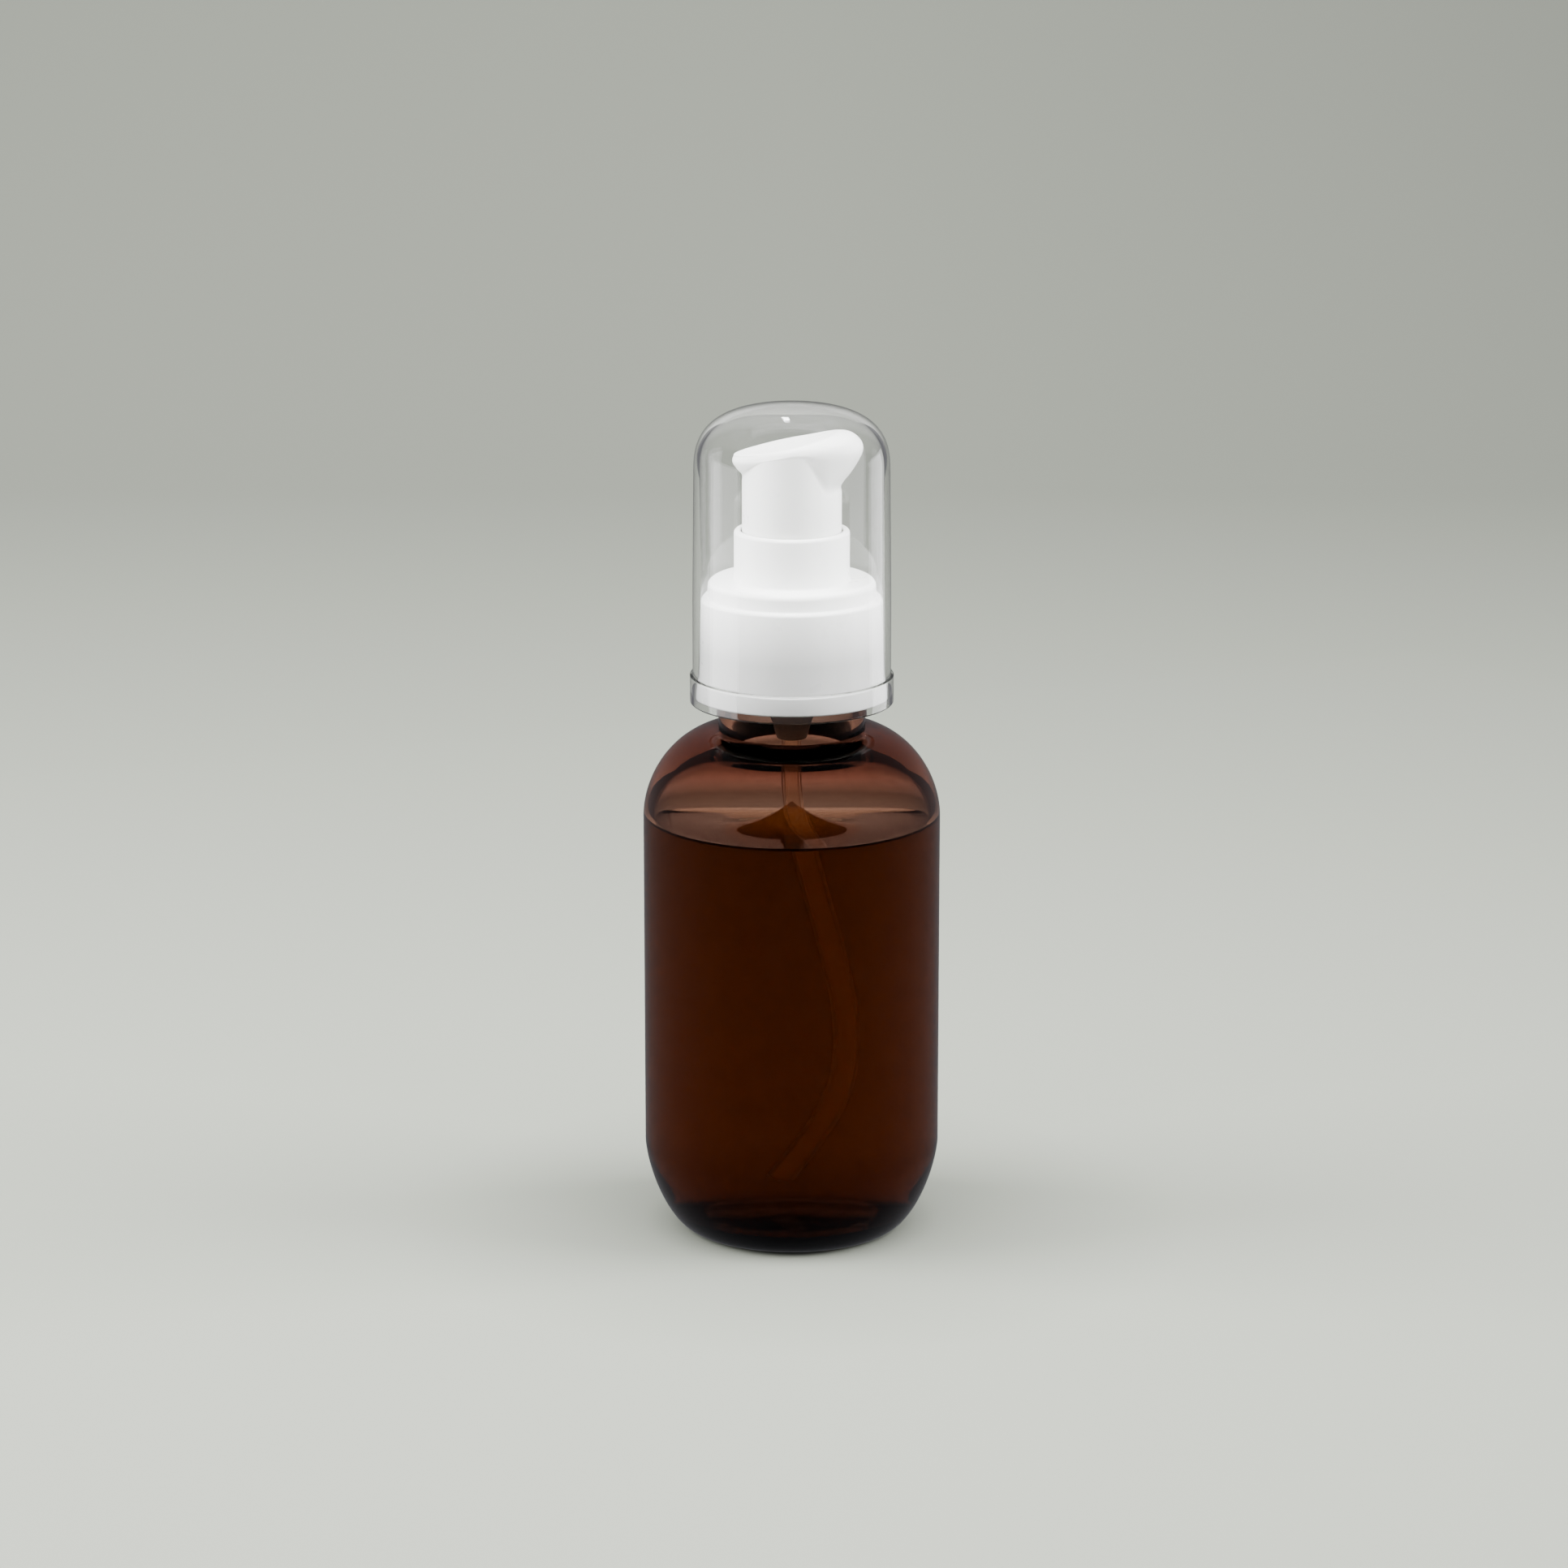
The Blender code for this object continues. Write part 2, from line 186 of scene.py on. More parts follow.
def combine(piece, bm, operation):
    """Apply a Boolean with a helper mesh, which is then removed."""
    helper = finish_mesh(piece.name + "_helper", bm, None, piece.data.materials[0])
    boolean = piece.modifiers.new("helper", "BOOLEAN")
    boolean.object = helper
    boolean.operation = operation
    boolean.solver = "EXACT"
    graph = bpy.context.evaluated_depsgraph_get()
    mesh = bpy.data.meshes.new_from_object(piece.evaluated_get(graph))
    piece.modifiers.clear()
    piece.data = mesh
    mesh.shade_smooth()
    mesh.set_sharp_from_angle(angle=math.radians(38))
    bpy.data.objects.remove(helper)


def side_cylinder(radius, length, centre, tilt_degrees, steps=32):
    bm = bmesh.new()
    place = Matrix.Translation(centre) @ Matrix.Rotation(math.radians(tilt_degrees), 4, "Y")
    bmesh.ops.create_cone(bm, cap_ends=True, segments=steps, radius1=radius, radius2=radius,
                          depth=length, matrix=place)
    return bm


def helix_ridge(bottom, start_turn, end_turn, section, root_r, per_turn=72, fade=0.12):
    """Screw ridge that sinks into its wall over a short run-out at both ends."""
    count = round((end_turn - start_turn) * per_turn)
    rings = []
    for i in range(count + 1):
        turn = start_turn + (end_turn - start_turn) * i / count
        angle = math.tau * turn
        run = min(turn - start_turn, end_turn - turn) / fade
        height = 0.02 + 0.98 * min(1.0, max(0.0, run)) ** 0.6
        rings.append([((root_r + (radius - root_r) * height) * math.cos(angle),
                       (root_r + (radius - root_r) * height) * math.sin(angle),
                       bottom + PITCH * turn + up) for radius, up in section])
    return swept(rings)


def power_arc(inner_r, outer_r, base, height, power, steps, rising=True):
    """Superellipse quarter, from the side up to the inner radius."""
    points = []
    for i in range(steps + 1):
        t = math.pi / 2 * (i / steps)
        points.append((inner_r + (outer_r - inner_r) * math.cos(t) ** (2 / power),
                       base + height * math.sin(t) ** (2 / power)))
    return points if rising else points[::-1]


def heel_arc(inner_r, outer_r, base, top, power, steps):
    """Superellipse quarter under the side, from the base ring up."""
    return [(inner_r + (outer_r - inner_r) * math.sin(t) ** (2 / power),
             top - (top - base) * math.cos(t) ** (2 / power))
            for t in (math.pi / 2 * (i / steps) for i in range(steps + 1))]


# ------------------------------------------------------------------- materials

def new_material(name):
    material = bpy.data.materials.new(name)
    material.use_nodes = True
    tree = material.node_tree
    return material, tree, tree.nodes["Principled BSDF"]


def noise(tree, scale, detail=3.0):
    place = tree.nodes.new("ShaderNodeTexCoord")
    texture = tree.nodes.new("ShaderNodeTexNoise")
    texture.inputs["Scale"].default_value = scale
    texture.inputs["Detail"].default_value = detail
    tree.links.new(place.outputs["Object"], texture.inputs["Vector"])
    return texture.outputs["Fac"]


def spread(tree, value, low, high):
    """A 0 to 1 value mapped to a range."""
    node = tree.nodes.new("ShaderNodeMapRange")
    node.inputs["From Min"].default_value = 0.3
    node.inputs["From Max"].default_value = 0.7
    node.inputs["To Min"].default_value = low
    node.inputs["To Max"].default_value = high
    tree.links.new(value, node.inputs["Value"])
    return node.outputs["Result"]


def bump(tree, shader, value, strength, distance):
    node = tree.nodes.new("ShaderNodeBump")
    node.inputs["Strength"].default_value = strength
    node.inputs["Distance"].default_value = distance
    tree.links.new(value, node.inputs["Height"])
    tree.links.new(node.outputs["Normal"], shader.inputs["Normal"])


def tinted(tree, shader, value, low, high):
    """Base colour that drifts between two close tones."""
    ramp = tree.nodes.new("ShaderNodeValToRGB")
    ramp.color_ramp.elements[0].position = 0.3
    ramp.color_ramp.elements[1].position = 0.7
    ramp.color_ramp.elements[0].color = (*low, 1)
    ramp.color_ramp.elements[1].color = (*high, 1)
    tree.links.new(value, ramp.inputs["Fac"])
    tree.links.new(ramp.outputs["Color"], shader.inputs["Base Color"])


def moulded(name, low, high, gloss, grain=2200.0, depth=0.00002, subsurface=0.0):
    """Injection-moulded plastic: faint tone drift, uneven gloss, fine surface grain."""
    material, tree, shader = new_material(name)
    tinted(tree, shader, noise(tree, 60.0), low, high)
    tree.links.new(spread(tree, noise(tree, 300.0), *gloss), shader.inputs["Roughness"])
    bump(tree, shader, noise(tree, grain, 2.0), 0.25, depth)
    shader.inputs["IOR"].default_value = 1.49
    shader.inputs["Subsurface Weight"].default_value = subsurface
    shader.inputs["Subsurface Radius"].default_value = (0.0012, 0.0011, 0.0010)
    return material


def place_along(tree, axis):
    """The place of a surface point along X, Y or Z, or how far it is from the origin."""
    place = tree.nodes.new("ShaderNodeTexCoord")
    if axis == "distance":
        length = tree.nodes.new("ShaderNodeVectorMath")
        length.operation = "LENGTH"
        tree.links.new(place.outputs["Object"], length.inputs[0])
        return length.outputs["Value"]
    split = tree.nodes.new("ShaderNodeSeparateXYZ")
    tree.links.new(place.outputs["Object"], split.inputs["Vector"])
    return split.outputs[axis]


def paint_shade(material, axis, low, high, first, last):
    """Painted shade: scale the base colour by a factor that goes from first to last between two
    places.
    """
    tree = material.node_tree
    shader = tree.nodes["Principled BSDF"]
    plain = shader.inputs["Base Color"].links[0].from_socket
    fade = tree.nodes.new("ShaderNodeMapRange")
    fade.inputs["From Min"].default_value = low
    fade.inputs["From Max"].default_value = high
    fade.inputs["To Min"].default_value = first
    fade.inputs["To Max"].default_value = last
    scale = tree.nodes.new("ShaderNodeVectorMath")
    scale.operation = "SCALE"
    tree.links.new(place_along(tree, axis), fade.inputs["Value"])
    tree.links.new(plain, scale.inputs[0])
    tree.links.new(fade.outputs["Result"], scale.inputs["Scale"])
    tree.links.new(scale.outputs["Vector"], shader.inputs["Base Color"])


def clear(name, ior, colour, absorb, density, gloss, ripple, mirror=1.0):
    """Transparent solid that darkens with the thickness the light crosses.

    A mirror share under 1 holds back its straight-on reflections, as a studio's black flags do.
    """
    material, tree, shader = new_material(name)
    shader.inputs["Base Color"].default_value = (*colour, 1)
    shader.inputs["Transmission Weight"].default_value = 1.0
    shader.inputs["IOR"].default_value = ior
    shader.inputs["Specular Tint"].default_value = (mirror, mirror, mirror, 1)
    tree.links.new(spread(tree, noise(tree, 180.0), *gloss), shader.inputs["Roughness"])
    if ripple:
        bump(tree, shader, noise(tree, 110.0, 1.0), 0.2, ripple)
    if density:
        volume = tree.nodes.new("ShaderNodeVolumeAbsorption")
        volume.inputs["Color"].default_value = (*absorb, 1)
        volume.inputs["Density"].default_value = density
        output = tree.nodes["Material Output"]
        tree.links.new(volume.outputs["Volume"], output.inputs["Volume"])
    return material


def translucent_painted_glow():
    """Natural polyethylene tube: nearly clear, with a faint painted glow (a small emission)
    standing in for the light it gathers.
    """
    material = moulded("tube_polyethylene", (0.95, 0.93, 0.88), (0.99, 0.97, 0.93), (0.06, 0.12),
                       grain=1500.0, depth=0.000004)
    shader = material.node_tree.nodes["Principled BSDF"]
    shader.inputs["Transmission Weight"].default_value = 0.92
    shader.inputs["IOR"].default_value = 1.12
    # Painted glow: a faint amber emission, though the tube is no lamp.
    shader.inputs["Emission Color"].default_value = (1.0, 0.5, 0.25, 1)
    shader.inputs["Emission Strength"].default_value = 0.035
    return material


def steel():
    material, tree, shader = new_material("spring_wire")
    tinted(tree, shader, noise(tree, 900.0), (0.55, 0.55, 0.57), (0.66, 0.66, 0.67))
    shader.inputs["Metallic"].default_value = 1.0
    tree.links.new(spread(tree, noise(tree, 1500.0), 0.2, 0.34), shader.inputs["Roughness"])
    bump(tree, shader, noise(tree, 4000.0), 0.2, 0.00001)
    return material


AMBER = clear("amber_pet", 1.57, (1, 1, 1), (0.48, 0.19, 0.084), 600.0, (0.0, 0.02),
              ripple=0.00003, mirror=0.1)
LIQUID = clear("amber_liquid", 1.34, (1, 1, 1), (0.655, 0.465, 0.063), 170.0, (0.0, 0.0),
               ripple=0, mirror=0.15)
CLEAR = clear("clear_styrene", 1.5, (1, 1, 1), (0.86, 0.84, 0.94), 60.0, (0.0, 0.02),
              ripple=0.000012)
BALL = clear("ball_glass", 1.52, (0.95, 1.0, 1.0), (0.9, 0.95, 0.95), 40.0, (0.02, 0.08),
             ripple=0)
WHITE = moulded("white_polypropylene", (0.80, 0.81, 0.79), (0.84, 0.845, 0.83), (0.26, 0.36),
                subsurface=0.15)
# A copy of the white polypropylene, kept apart so that painted shade can go on the collar alone.
COLLAR_PAINTED_SHADE = moulded("collar_pp_painted_shade", (0.80, 0.81, 0.79), (0.84, 0.845, 0.83), (0.26, 0.36),
                 subsurface=0.15)
NATURAL = moulded("natural_polypropylene", (0.66, 0.66, 0.62), (0.72, 0.72, 0.68),
                  (0.34, 0.48), subsurface=0.3)
SOFT = moulded("soft_polyethylene", (0.72, 0.75, 0.78), (0.78, 0.80, 0.83), (0.4, 0.55))
FOAM = moulded("foamed_gasket", (0.74, 0.74, 0.71), (0.86, 0.86, 0.83), (0.75, 0.9),
               grain=3500.0, depth=0.00012)
TUBE = translucent_painted_glow()
STEEL = steel()
# Painted shade: the collar's white darkens toward the bottom of its skirt.
paint_shade(COLLAR_PAINTED_SHADE, "Z", 0.0885, 0.0975, 0.48, 1.0)


# ---------------------------------------------------------------------- bottle

def base_dome(base, steps=10):
    return [(REST_RING_R * i / steps, base + PUSH_UP * math.cos(math.pi / 2 * i / steps))
            for i in range(steps + 1)]


def inner_wall(grow=0.0):
    """Inside of the bottle from the neck down to the floor's centre."""
    rise = SHOULDER_TOP - SHOULDER_WALL + grow - SHOULDER_BOTTOM
    shoulder = power_arc(NECK_BORE_R + grow, BODY_R - WALL + grow, SHOULDER_BOTTOM, rise,
                         SHOULDER_POWER, 26, rising=False)
    heel = heel_arc(HEEL_R - 1 + grow, BODY_R - WALL + grow, BASE_THICKNESS - grow, HEEL_TOP,
                    HEEL_POWER, 24)
    return shoulder + heel[::-1] + base_dome(BASE_THICKNESS - grow)[::-1][1:]


def make_bottle():
    outer = base_dome(0.0) + heel_arc(HEEL_R, BODY_R, 0.0, HEEL_TOP, HEEL_POWER, 28)
    outer += power_arc(NECK_R, BODY_R, SHOULDER_BOTTOM, SHOULDER_TOP - SHOULDER_BOTTOM,
                       SHOULDER_POWER, 30)
    rim = rounded([(NECK_R, RIM_TOP - 2), (NECK_R, RIM_TOP, 0.35), (NECK_BORE_R, RIM_TOP, 0.35),
                   (NECK_BORE_R, RIM_TOP - 2)], closed=False)
    bottle = finish_mesh("bottle_shell", turned(outer + rim + inner_wall(), closed=False),
                         "bottle", AMBER, "bottle")
    section = [(NECK_R - 0.2, -1.0), (11.6, -0.6), (11.88, -0.35), (11.88, 0.35), (11.6, 0.6),
               (NECK_R - 0.2, 1.0)]
    ridge = helix_ridge(THREAD_BOTTOM, 0, THREAD_TURNS, section, NECK_R - 0.1)
    combine(bottle, ridge, "UNION")


def make_liquid():
    """Liquid that wets the wall, with a rim that climbs a little there and around the tube."""
    side = BODY_R - WALL + WETTING
    low = FILL_LEVEL - LIQUID_DIP
    steps = 24
    level = [(CLIMB_R * (i / steps), low + CLIMB_HEIGHT * (1 - i / steps) ** CLIMB_POWER)
             for i in range(steps + 1)]
    level += [(side - 3.0, low), (side - 1.2, low + 0.1), (side - 0.4, low + 0.35),
              (side, low + 0.75)]
    wall = [point for point in inner_wall(WETTING) if point[1] < FILL_LEVEL]
    finish_mesh("liquid", turned(level + wall, closed=False), "bottle", LIQUID)


# ------------------------------------------------------------------------ pump

def make_closure():
    outline = rounded([
        (SLEEVE_R, SLEEVE_TOP, 0.55), (SLEEVE_BORE_R - 0.15, SLEEVE_TOP, 0.2),
        (SLEEVE_BORE_R, SLEEVE_TOP - 1.5), (SLEEVE_BORE_R, 97.1, 0.2), (5.65, 97.1, 0.15),
        (5.65, 96.2), (11.25, 96.2), (12.45, 95.0, 0.3), (12.45, 82.0), (12.8, 81.3, 0.15),
        (13.85, 81.3, 0.3), (13.85, 84.0, 0.2), (13.5, 84.0, 0.1), (13.4, 96.4, 0.75),
        (DISC_R, 96.4, 0.2), (DISC_R, DISC_TOP, 0.8), (SLEEVE_R, DISC_TOP, 0.35),
    ])
    closure = finish_mesh("screw_collar", turned(outline), "closure", COLLAR_PAINTED_SHADE, "closure")
    section = [(12.6, -0.75), (12.6, 0.75), (11.35, 0.4), (11.2, 0.25), (11.2, -0.25),
               (11.35, -0.4)]
    ridge = helix_ridge(THREAD_BOTTOM - COLLAR_THREAD_DROP, COLLAR_THREAD_START, THREAD_TURNS,
                        section, 12.5)
    combine(closure, ridge, "UNION")


def smooth_step(low, high, value):
    share = min(1.0, max(0.0, (value - low) / (high - low)))
    return share * share * (3 - 2 * share)


def curve_point(points, t):
    """Catmull-Rom point at t, 0 to 1 over the whole list."""
    spans = len(points) - 1
    place = min(t * spans, spans - 1e-9)
    i = int(place)
    f = place - i
    a = points[max(i - 1, 0)]
    b, c = points[i], points[i + 1]
    d = points[min(i + 2, spans)]
    return 0.5 * (2 * b + (c - a) * f + (2 * a - 5 * b + 4 * c - d) * f * f
                  + (3 * b - a - 3 * c + d) * f ** 3)


def head_meridian(angle):
    """The head's surface from the column's crease over the lip to the middle of the top."""
    cosine, sine = math.cos(angle), math.sin(angle)
    degrees = abs(math.degrees(math.atan2(sine, cosine)))
    front, back = max(0.0, cosine), max(0.0, -cosine)
    reach = HEAD_SIDE + (HEAD_FRONT - HEAD_SIDE) * smooth_step(0, 80, 80 - degrees)
    reach += (HEAD_BACK - HEAD_SIDE) * smooth_step(125, 180, degrees)
    crease = 113.1 + 4.7 * smooth_step(44, 80, degrees) - 3.2 * smooth_step(110, 170, degrees)
    lip_x, lip_y = reach * cosine, reach * sine
    edge_share = 0.86 - 0.18 * front + 0.06 * back
    edge_x, edge_y = lip_x * edge_share, lip_y * edge_share
    lip_z = HEAD_TOP + HEAD_SLOPE * lip_x - 0.9 - 2.5 * front ** 1.5 - 0.2 * back
    lip = Vector((lip_x, lip_y, lip_z))
    edge = Vector((edge_x, edge_y, HEAD_TOP + HEAD_SLOPE * edge_x))
    root = Vector((COLUMN_R * cosine, COLUMN_R * sine, crease))
    under = root.lerp(lip, 0.45)
    under += (lip - root) * Vector((0.11, 0.11, 0.0))
    return [
        root - Vector((0, 0, 1.2)),
        root,
        under,
        lip,
        Vector((edge_x + (lip_x - edge_x) * 0.71, edge_y + (lip_y - edge_y) * 0.71,
                lip_z + (edge.z - lip_z) * 0.71)),
        edge,
        Vector((edge_x * 0.5, edge_y * 0.5, HEAD_TOP + HEAD_SLOPE * edge_x * 0.5 - 0.1)),
        Vector((0, 0, HEAD_TOP - 0.12)),
    ]


def make_actuator():
    steps = 96
    angles = [math.tau * i / steps for i in range(steps)]
    meridians = [head_meridian(angle) for angle in angles]
    rings = []
    for radius, height in ((6.95, SKIRT_BOTTOM), (7.15, SKIRT_BOTTOM + 0.06),
                           (COLUMN_R, SKIRT_BOTTOM + 0.3), (COLUMN_R, SKIRT_BOTTOM + 4)):
        rings.append([(radius * math.cos(a), radius * math.sin(a), height) for a in angles])
    samples = 42
    for k in range(samples):
        rings.append([curve_point(m, k / samples) for m in meridians])
    head = finish_mesh("pump_head", swept(rings), "actuator", WHITE, "actuator")
    hollow = rounded([(0, 103.0), (6.5, 103.0), (6.4, 112.6, 0.8), (3.9, 112.6, 0.4),
                      (3.9, 109.3, 0.2), (2.7, 109.3, 0.2), (2.7, 112.4, 0.2), (1.2, 112.4),
                      (1.2, 116.2), (0, 116.2)], closed=False)
    combine(head, turned(hollow, SMALL_STEPS, closed=False), "DIFFERENCE")
    combine(head, side_cylinder(DUCT_R, DUCT_LENGTH, DUCT_MIDDLE, DUCT_TILT), "DIFFERENCE")


def make_housing():
    outline = rounded([
        (5.6, 95.9, 0.2), (5.6, 92.6, 0.2), (4.0, 92.6, 0.3), (4.0, 82.3, 0.4), (1.95, 81.4, 0.1),
        (1.95, 79.3), (1.1, 78.2), (1.1, 77.9), (1.75, 77.9), (1.75, 75.0, 0.15),
        (2.2, 75.0, 0.15), (2.7, 76.7, 0.5), (2.7, 78.6, 0.5), (5.0, 81.9, 0.7), (5.0, 91.6, 0.5),
        (6.7, 92.4, 0.4), (6.7, 94.9, 0.3), (11.0, 94.9, 0.3), (11.0, 95.9, 0.3),
    ])
    housing = finish_mesh("pump_housing", turned(outline, SMALL_STEPS), "pump_body",
                          NATURAL, "housing")
    nibs = bmesh.new()
    for i in range(3):
        place = (Matrix.Rotation(math.tau * i / 3, 4, "Z")
                 @ Matrix.Translation((1.85, 0, 81.2)) @ Matrix.Diagonal((1.0, 0.6, 0.45, 1)))
        bmesh.ops.create_cube(nibs, size=1.0, matrix=place)
    combine(housing, nibs, "UNION")
    combine(housing, side_cylinder(0.4, 3.0, (-4.5, 0, 90.9), 90), "DIFFERENCE")


def make_inner_pieces():
    """Chaplet, gasket, stem and piston: turned mouldings with eased edges."""
    chaplet = [(2.95, 98.0, 0.3), (2.95, 95.2), (4.5, 94.4), (4.5, 92.9, 0.15), (5.3, 92.9, 0.25),
               (5.3, 97.4, 0.15), (7.2, 97.4, 0.15), (7.2, 98.0, 0.2)]
    gasket = [(7.4, 94.6, 0.12), (7.4, 93.6, 0.12), (11.0, 93.6, 0.12), (11.0, 94.6, 0.12)]
    stem = [(1.3, 112.0, 0.1), (1.3, 95.6), (2.15, 95.6), (2.15, 92.5, 0.1), (2.75, 92.5, 0.15),
            (2.75, 108.0, 0.25), (5.6, 108.0, 0.15), (5.6, 109.0, 0.2), (2.45, 109.0, 0.15),
            (2.45, 112.0, 0.3)]
    piston = [(2.05, 91.6, 0.1), (2.05, 89.5, 0.1), (2.7, 89.5, 0.1), (2.7, 90.2, 0.1),
              (3.3, 90.2, 0.1), (3.5, 88.9, 0.1), (3.9, 88.9, 0.1), (3.75, 90.2, 0.1),
              (3.75, 90.9, 0.1), (3.9, 92.2, 0.1), (3.5, 92.2, 0.1), (3.3, 90.9, 0.1),
              (2.7, 90.9, 0.1), (2.7, 91.6, 0.1)]
    rows = (("stem_guide", chaplet, "pump_body", "white_pp", WHITE, "chaplet"),
            ("rim_gasket", gasket, "pump_body", "gasket_foam", FOAM, "gasket"),
            ("pump_stem", stem, "stem", "white_pp", WHITE, "stem"),
            ("lip_piston", piston, "piston", "soft_pe", SOFT, "piston"))
    for name, outline, body, slot, material, node in rows:
        bm = turned(rounded(outline, steps=3), SMALL_STEPS)
        finish_mesh(name, bm, body, material, node)


def make_shaft():
    outline = rounded([(0, 88.0), (2.2, 88.0, 0.2), (2.7, 88.4, 0.15), (2.7, 88.8, 0.15),
                       (1.9, 89.2, 0.1), (1.9, 95.3, 0.25), (1.0, 95.3, 0.1), (1.0, 89.6),
                       (0, 89.6)], closed=False, steps=3)
    shaft = finish_mesh("valve_shaft", turned(outline, 48, closed=False), "stem",
                        NATURAL, "shaft")
    combine(shaft, side_cylinder(0.4, 6.0, (0, 0, 90.1), 90, 20), "DIFFERENCE")


def make_spring():
    """Return spring with closed, tightly wound end coils."""
    low, high = SPRING_BOTTOM + WIRE_R, SPRING_TOP - WIRE_R
    end_share, end_rise, per_turn = 0.13, 1.0, 40
    rings = []
    count = round(SPRING_TURNS * per_turn)
    for i in range(count + 1):
        share = i / count
        even = min(1, max(0, (share - end_share) / 0.74))
        lift = smooth_step(0.08, 0.92, share) * 0.35 + 0.65 * even
        angle = math.tau * SPRING_TURNS * share
        out = Vector((math.cos(angle), math.sin(angle), 0))
        in_ends = min(share, end_share) + max(0, share - 1 + end_share)
        end_lift = WIRE_R * 2.1 * in_ends * SPRING_TURNS * 0.5
        centre = out * SPRING_R + Vector((0, 0, low + (high - low - end_rise) * lift + end_lift))
        rings.append([centre + WIRE_R * (out * math.cos(t) + Vector((0, 0, math.sin(t))))
                      for t in (math.tau * k / 14 for k in range(14))])
    spring = finish_mesh("return_spring", swept(rings), "pump_body", STEEL,
                         "spring")
    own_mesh(spring)


def make_ball():
    bm = bmesh.new()
    bmesh.ops.create_icosphere(bm, subdivisions=4, radius=BALL_R,
                               matrix=Matrix.Translation((0, 0, BALL_CENTRE)))
    finish_mesh("valve_ball", bm, "check_ball", BALL, "check_ball")


def make_dip_tube():
    route = [Vector(p) for p in (
        (0, 0, 77.6), (0, 0, 70), (0.9, 0.1, 62), (2.6, 0.4, 53), (4.4, 0.9, 43.5),
        (5.7, 1.6, 34), (5.6, 2.4, 25), (4.0, 3.0, 18.5), (1.6, 3.5, 13), (-1.2, 4.0, 7.5))]
    stations, sides = 90, 28
    centres = [curve_point(route, i / stations) for i in range(stations + 1)]
    frames = []
    for i, centre in enumerate(centres):
        along = centres[min(i + 1, stations)] - centres[max(i - 1, 0)]
        side = along.cross(Vector((0, 1, 0))).normalized()
        frames.append((centre, side, side.cross(along).normalized()))

    def ring(spot, radius):
        centre, side, other = spot
        return [centre + radius * (side * math.cos(t) + other * math.sin(t))
                for t in (math.tau * k / sides for k in range(sides))]

    outside = [ring(spot, TUBE_R) for spot in frames]
    inside = [ring(spot, TUBE_BORE_R) for spot in reversed(frames)]
    finish_mesh("dip_pipe", swept(outside + inside, loop=True), "pump_body", TUBE,
                "dip_tube")


# --------------------------------------------------------------------- overcap

def make_overcap():
    height = CAP_TOP - DOME_BOTTOM
    outer = rounded([(CAP_BAND_R - 0.5, CAP_BOTTOM), (CAP_BAND_R, CAP_BOTTOM, 0.2),
                     (CAP_BAND_R, 84.5, 0.12), (CAP_R, 84.55, 0.1), (CAP_R - 0.02, 95.5)],
                    closed=False, steps=4)
    outer += power_arc(0, CAP_TOP_R, DOME_BOTTOM, height, DOME_POWER, 40)
    inner = power_arc(0, CAP_TOP_R - CAP_WALL, DOME_BOTTOM, height - 1.0, DOME_POWER, 36, False)
    inner += rounded([(13.6, 95.5), (13.72, 84.3, 0.1), (14.15, 84.3, 0.15),
                      (14.15, CAP_BOTTOM, 0.25), (14.53, CAP_BOTTOM)], closed=False, steps=4)
    cap = finish_mesh("clear_overcap", turned(outer + inner, closed=False), "overcap",
                      CLEAR, "overcap")
    cap.visible_shadow = False


# ------------------------------------------------------------- stage and light

def make_stage():
    """Seamless pale sweep: floor, wide curve and back wall, in metres.

    It is narrow, so that the bottle's shoulder refracts dark studio and not paper.
    """
    bm = bmesh.new()
    front, back, bend, top, wide, sink = -1.5, 0.55, 0.5, 0.55, 0.34, 0.0002
    line = [(front, 0.0), (back, 0.0)]
    line += [(back + bend * math.sin(t), bend - bend * math.cos(t))
             for t in (math.pi / 2 * i / 24 for i in range(1, 25))]
    line += [(back + bend, top)]
    rows = [[bm.verts.new((x, y, z - sink)) for x in (-wide, wide)] for y, z in line]
    for low, high in zip(rows, rows[1:]):
        bm.faces.new((low[0], low[1], high[1], high[0]))
    mesh = bpy.data.meshes.new("sweep")
    bm.to_mesh(mesh)
    bm.free()
    mesh.shade_smooth()
    sweep = bpy.data.objects.new("sweep", mesh)
    bpy.context.scene.collection.objects.link(sweep)
    material, tree, shader = new_material("sweep_paper")
    # Painted light: the paper goes from the floor's darker tone to the wall's lighter one.
    rise = tree.nodes.new("ShaderNodeValToRGB")
    rise.color_ramp.elements[0].position = 0.1
    rise.color_ramp.elements[1].position = 0.3
    rise.color_ramp.elements[0].color = (*PAPER, 1)
    rise.color_ramp.elements[1].color = (*PAPER_HIGH, 1)
    tree.links.new(place_along(tree, "Z"), rise.inputs["Fac"])
    tree.links.new(rise.outputs["Color"], shader.inputs["Base Color"])
    # Painted shade: the paper darkens toward +X, a painted falloff of the light.
    paint_shade(material, "X", 0.0, 0.25, 1.0, 0.8)
    # Painted shadow: the paper darkens near the origin, a contact shadow under the bottle.
    paint_shade(material, "distance", 0.02, 0.06, 0.78, 1.0)
    shader.inputs["Roughness"].default_value = 0.85
    bump(tree, shader, noise(tree, 900.0), 0.1, 0.00005)
    mesh.materials.append(material)
    sweep.visible_glossy = False


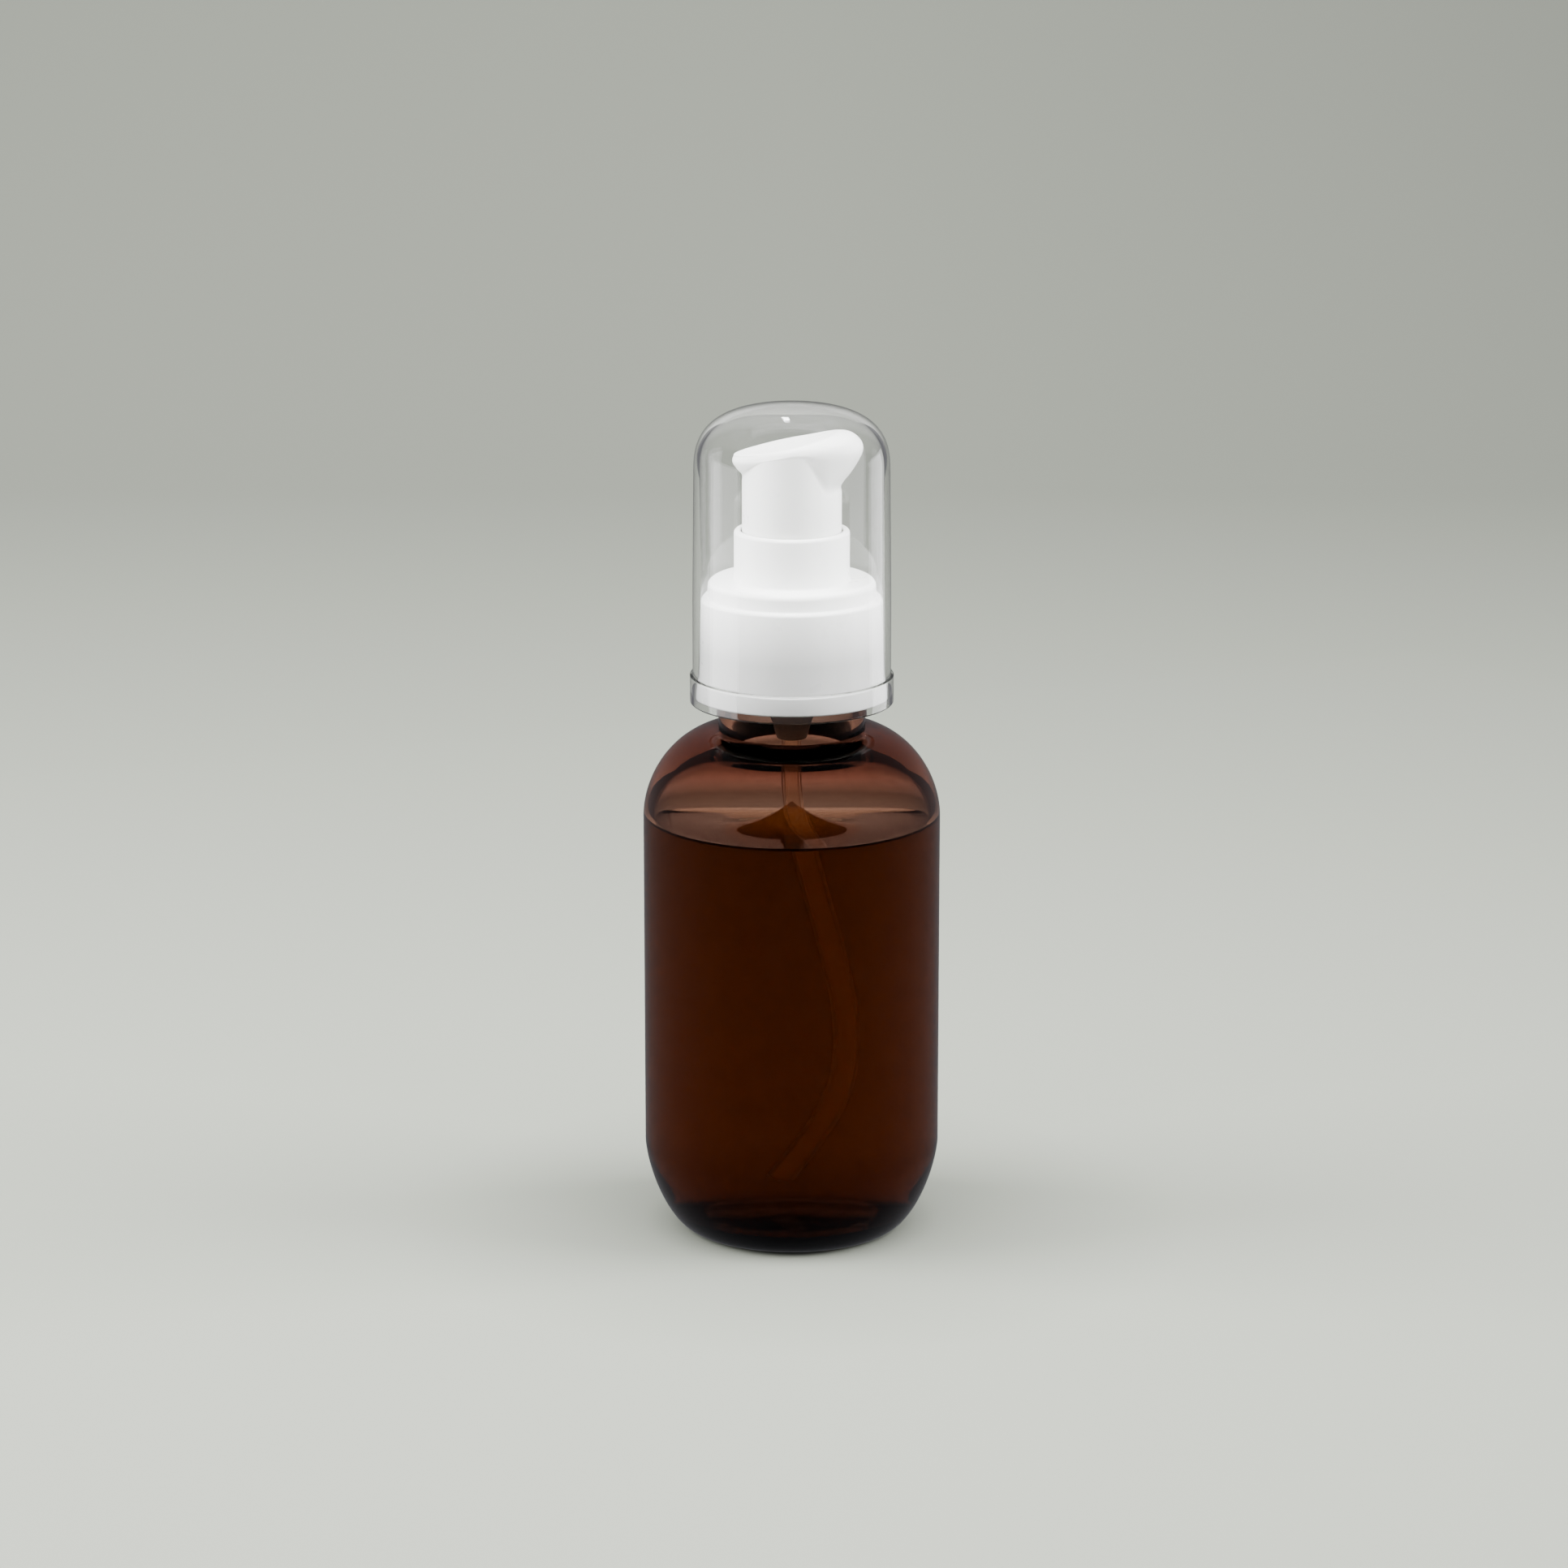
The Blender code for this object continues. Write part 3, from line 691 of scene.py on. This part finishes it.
def area_light(name, place, aim, size, power, mirrored=False):
    """Soft rectangular light. Most of them don't show as patches in glossy surfaces."""
    data = bpy.data.lights.new(name, "AREA")
    data.shape = "RECTANGLE"
    data.size, data.size_y = size
    data.energy = power
    light = bpy.data.objects.new(name, data)
    light.location = place
    light.visible_glossy = mirrored
    light.visible_transmission = mirrored
    light.rotation_euler = (Vector(aim) - Vector(place)).to_track_quat("-Z", "Y").to_euler()
    bpy.context.scene.collection.objects.link(light)
    return light


def make_lights():
    """Three softboxes for the object, and cards that only the overcap mirrors."""
    middle = (0, 0, 0.08)
    area_light("left_softbox", (-0.75, -0.05, 0.45), middle, (0.5, 0.8), 38.0)
    area_light("right_softbox", (0.75, -0.05, 0.45), middle, (0.5, 0.8), 37.0)
    area_light("top_softbox", (0, -0.1, 0.5), middle, (0.6, 0.4), 15.0)
    reflected = bpy.data.collections.new("shown_in_the_cap")
    reflected.objects.link(bpy.data.objects["clear_overcap"])
    for name, spot, size, power in (
            ("cap_card_left", (-0.5, -0.03, 0.0), (0.4, 0.35), 1.26),
            ("cap_card_right", (0.43, 0.25, 0.0), (0.28, 0.35), 0.882),
            ("cap_sparkle", (-0.02, 0.8, 0.7), (0.022, 0.14), 0.45)):
        card = area_light(name, spot, (0, 0, 0.1), size, power, mirrored=True)
        card.visible_diffuse = False
        card.light_linking.receiver_collection = reflected
    world = bpy.data.worlds.new("studio")
    world.use_nodes = True
    world.node_tree.nodes["Background"].inputs["Color"].default_value = (0.94, 0.94, 1.0, 1)
    world.node_tree.nodes["Background"].inputs["Strength"].default_value = 0.18
    bpy.context.scene.world = world


def make_camera():
    """A long lens a little above the bottle, straight on to the spout's side."""
    target = Vector((-1.15, 0, 67.67)) * MM
    elevation, distance = math.radians(14.52), 0.81675
    data = bpy.data.cameras.new("camera")
    data.lens, data.sensor_width = 126.6, 36.0
    camera = bpy.data.objects.new("camera", data)
    away = Vector((0, -math.cos(elevation), math.sin(elevation)))
    camera.location = target + away * distance
    camera.rotation_euler = (-away).to_track_quat("-Z", "Y").to_euler()
    bpy.context.scene.collection.objects.link(camera)
    bpy.context.scene.camera = camera


make_camera()
make_stage()
make_bottle()
make_liquid()
make_dip_tube()
make_housing()
make_inner_pieces()
make_shaft()
make_ball()
make_spring()
make_closure()
make_actuator()
make_overcap()
make_lights()
